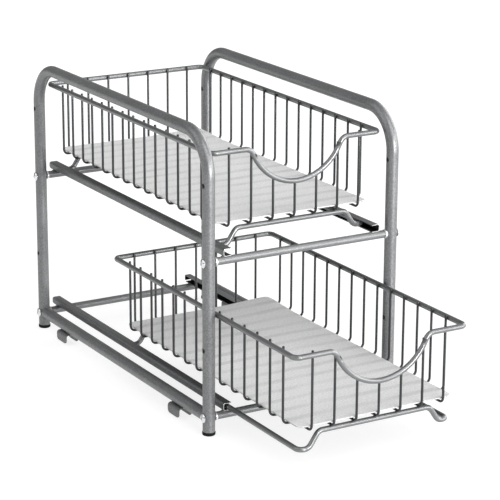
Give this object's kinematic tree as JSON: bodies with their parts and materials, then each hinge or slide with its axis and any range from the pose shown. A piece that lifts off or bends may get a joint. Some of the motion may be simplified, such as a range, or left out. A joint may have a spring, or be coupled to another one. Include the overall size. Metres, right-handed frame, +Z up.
{
  "type": "pull out cabinet basket",
  "caption": "Tiered pull out cabinet basket: a tube hoop frame with C rails carries wire baskets that slide out to the front, with scooped rims, floor mats and stacking clips.",
  "frame": {"origin": "on the floor, in the middle of the rectangle of the four feet", "axes": "+Z up, -Y to the front where the baskets come out, +X to the right seen from the front"},
  "size_m": [0.2564, 0.605, 0.346],
  "materials": {
    "tube_coat": "satin silver-grey powder coat",
    "rod_coat": "satin silver-grey powder coat",
    "rail_coat": "satin grey powder coat on folded sheet",
    "wire_coat": "satin silver-grey powder coat",
    "screw_zinc": "bright zinc plating",
    "foot_rubber": "black, matt",
    "liner_plastic": "pale translucent sheet"
  },
  "bodies": {
    "frame": {"left_hoop": "tube_coat", "right_hoop": "tube_coat", "left_side_tube": "tube_coat", "right_side_tube": "tube_coat", "front_lower_rod": "rod_coat", "rear_lower_rod": "rod_coat", "front_upper_rod": "rod_coat", "rear_upper_rod": "rod_coat", "lower_left_rail": "rail_coat", "lower_right_rail": "rail_coat", "upper_left_rail": "rail_coat", "upper_right_rail": "rail_coat", "lower_screws": "screw_zinc", "upper_screws": "screw_zinc", "lower_rod_inserts": "screw_zinc", "upper_rod_inserts": "screw_zinc", "foot_front_left": "foot_rubber", "foot_front_right": "foot_rubber", "foot_rear_left": "foot_rubber", "foot_rear_right": "foot_rubber", "stacking_clip_front_left": "rail_coat", "stacking_clip_front_right": "rail_coat", "stacking_clip_rear_left": "rail_coat", "stacking_clip_rear_right": "rail_coat"},
    "lower_basket": {"lower_rim": "wire_coat", "lower_cross_wires": "wire_coat", "lower_long_wires": "wire_coat", "lower_runner": "wire_coat", "lower_liner": "liner_plastic"},
    "upper_basket": {"upper_rim": "wire_coat", "upper_cross_wires": "wire_coat", "upper_long_wires": "wire_coat", "upper_runner": "wire_coat", "upper_liner": "liner_plastic"}
  },
  "joints": [
    {"name": "lower_slide", "type": "slide", "parent": "frame", "child": "lower_basket", "axis": [0, 1, 0], "range_m": [-0.105, 0.175]},
    {"name": "upper_slide", "type": "slide", "parent": "frame", "child": "upper_basket", "axis": [0, 1, 0], "range_m": [-0.28, 0]}
  ]
}
